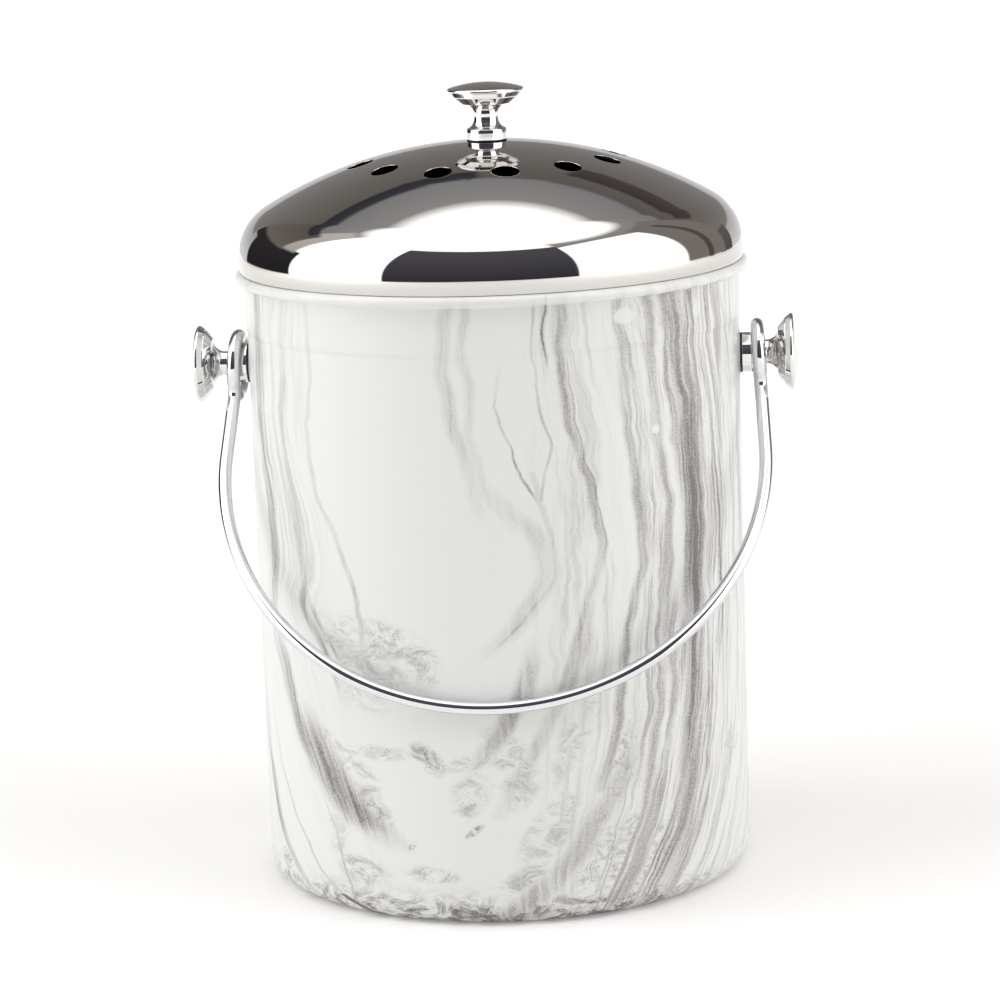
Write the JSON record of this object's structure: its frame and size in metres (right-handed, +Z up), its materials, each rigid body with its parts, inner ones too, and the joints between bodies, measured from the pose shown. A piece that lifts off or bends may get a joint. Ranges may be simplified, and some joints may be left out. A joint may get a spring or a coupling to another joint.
{
  "type": "kitchen compost caddy",
  "caption": "Round marble-finish steel compost pail with a lift-off vented dome lid over a charcoal filter, turned knobs and a swinging wire bail.",
  "frame": {"origin": "centre of the pail's flat underside", "axes": "+Z up through the lid's knob, -Y the front where the bail rests, X through the two side knobs"},
  "size_m": [0.2162, 0.1824, 0.2815],
  "materials": {
    "marble_coating": "gloss off-white coating with grey marble veins",
    "polished_steel": "mirror polished",
    "inner_steel": "plain rolled",
    "knob_chrome": "bright plated",
    "wire_chrome": "bright plated",
    "fastener_steel": "zinc plated",
    "black_rubber": "matte",
    "black_plastic": "moulded",
    "charcoal_felt": "needled carbon fibre felt"
  },
  "bodies": {
    "pail": {"pail_body": "marble_coating", "gasket_left": "black_rubber", "gasket_right": "black_rubber", "knob_left": "knob_chrome", "knob_right": "knob_chrome", "washer_left": "fastener_steel", "washer_right": "fastener_steel", "screw_left": "fastener_steel", "screw_right": "fastener_steel"},
    "bail": {"bail": "wire_chrome"},
    "lid": {"lid_dome": "polished_steel", "lid_ring": "inner_steel", "lid_gasket": "black_rubber", "lid_knob": "knob_chrome", "lid_washer": "fastener_steel", "lid_screw": "fastener_steel"},
    "filter_unit": {"filter_holder": "black_plastic", "charcoal_filter": "charcoal_felt"}
  },
  "joints": [
    {"name": "bail_swing", "type": "hinge", "parent": "pail", "child": "bail", "pos_m": [0, 0, 0.18365], "axis": [-1, 0, 0], "range_deg": [0, 279.4]},
    {"name": "lid_lift", "type": "slide", "parent": "pail", "child": "lid", "axis": [0, 0, 1], "range_m": [0, 0.08]},
    {"name": "filter_pull", "type": "slide", "parent": "lid", "child": "filter_unit", "axis": [0, 0, -1], "range_m": [0, 0.03]}
  ]
}
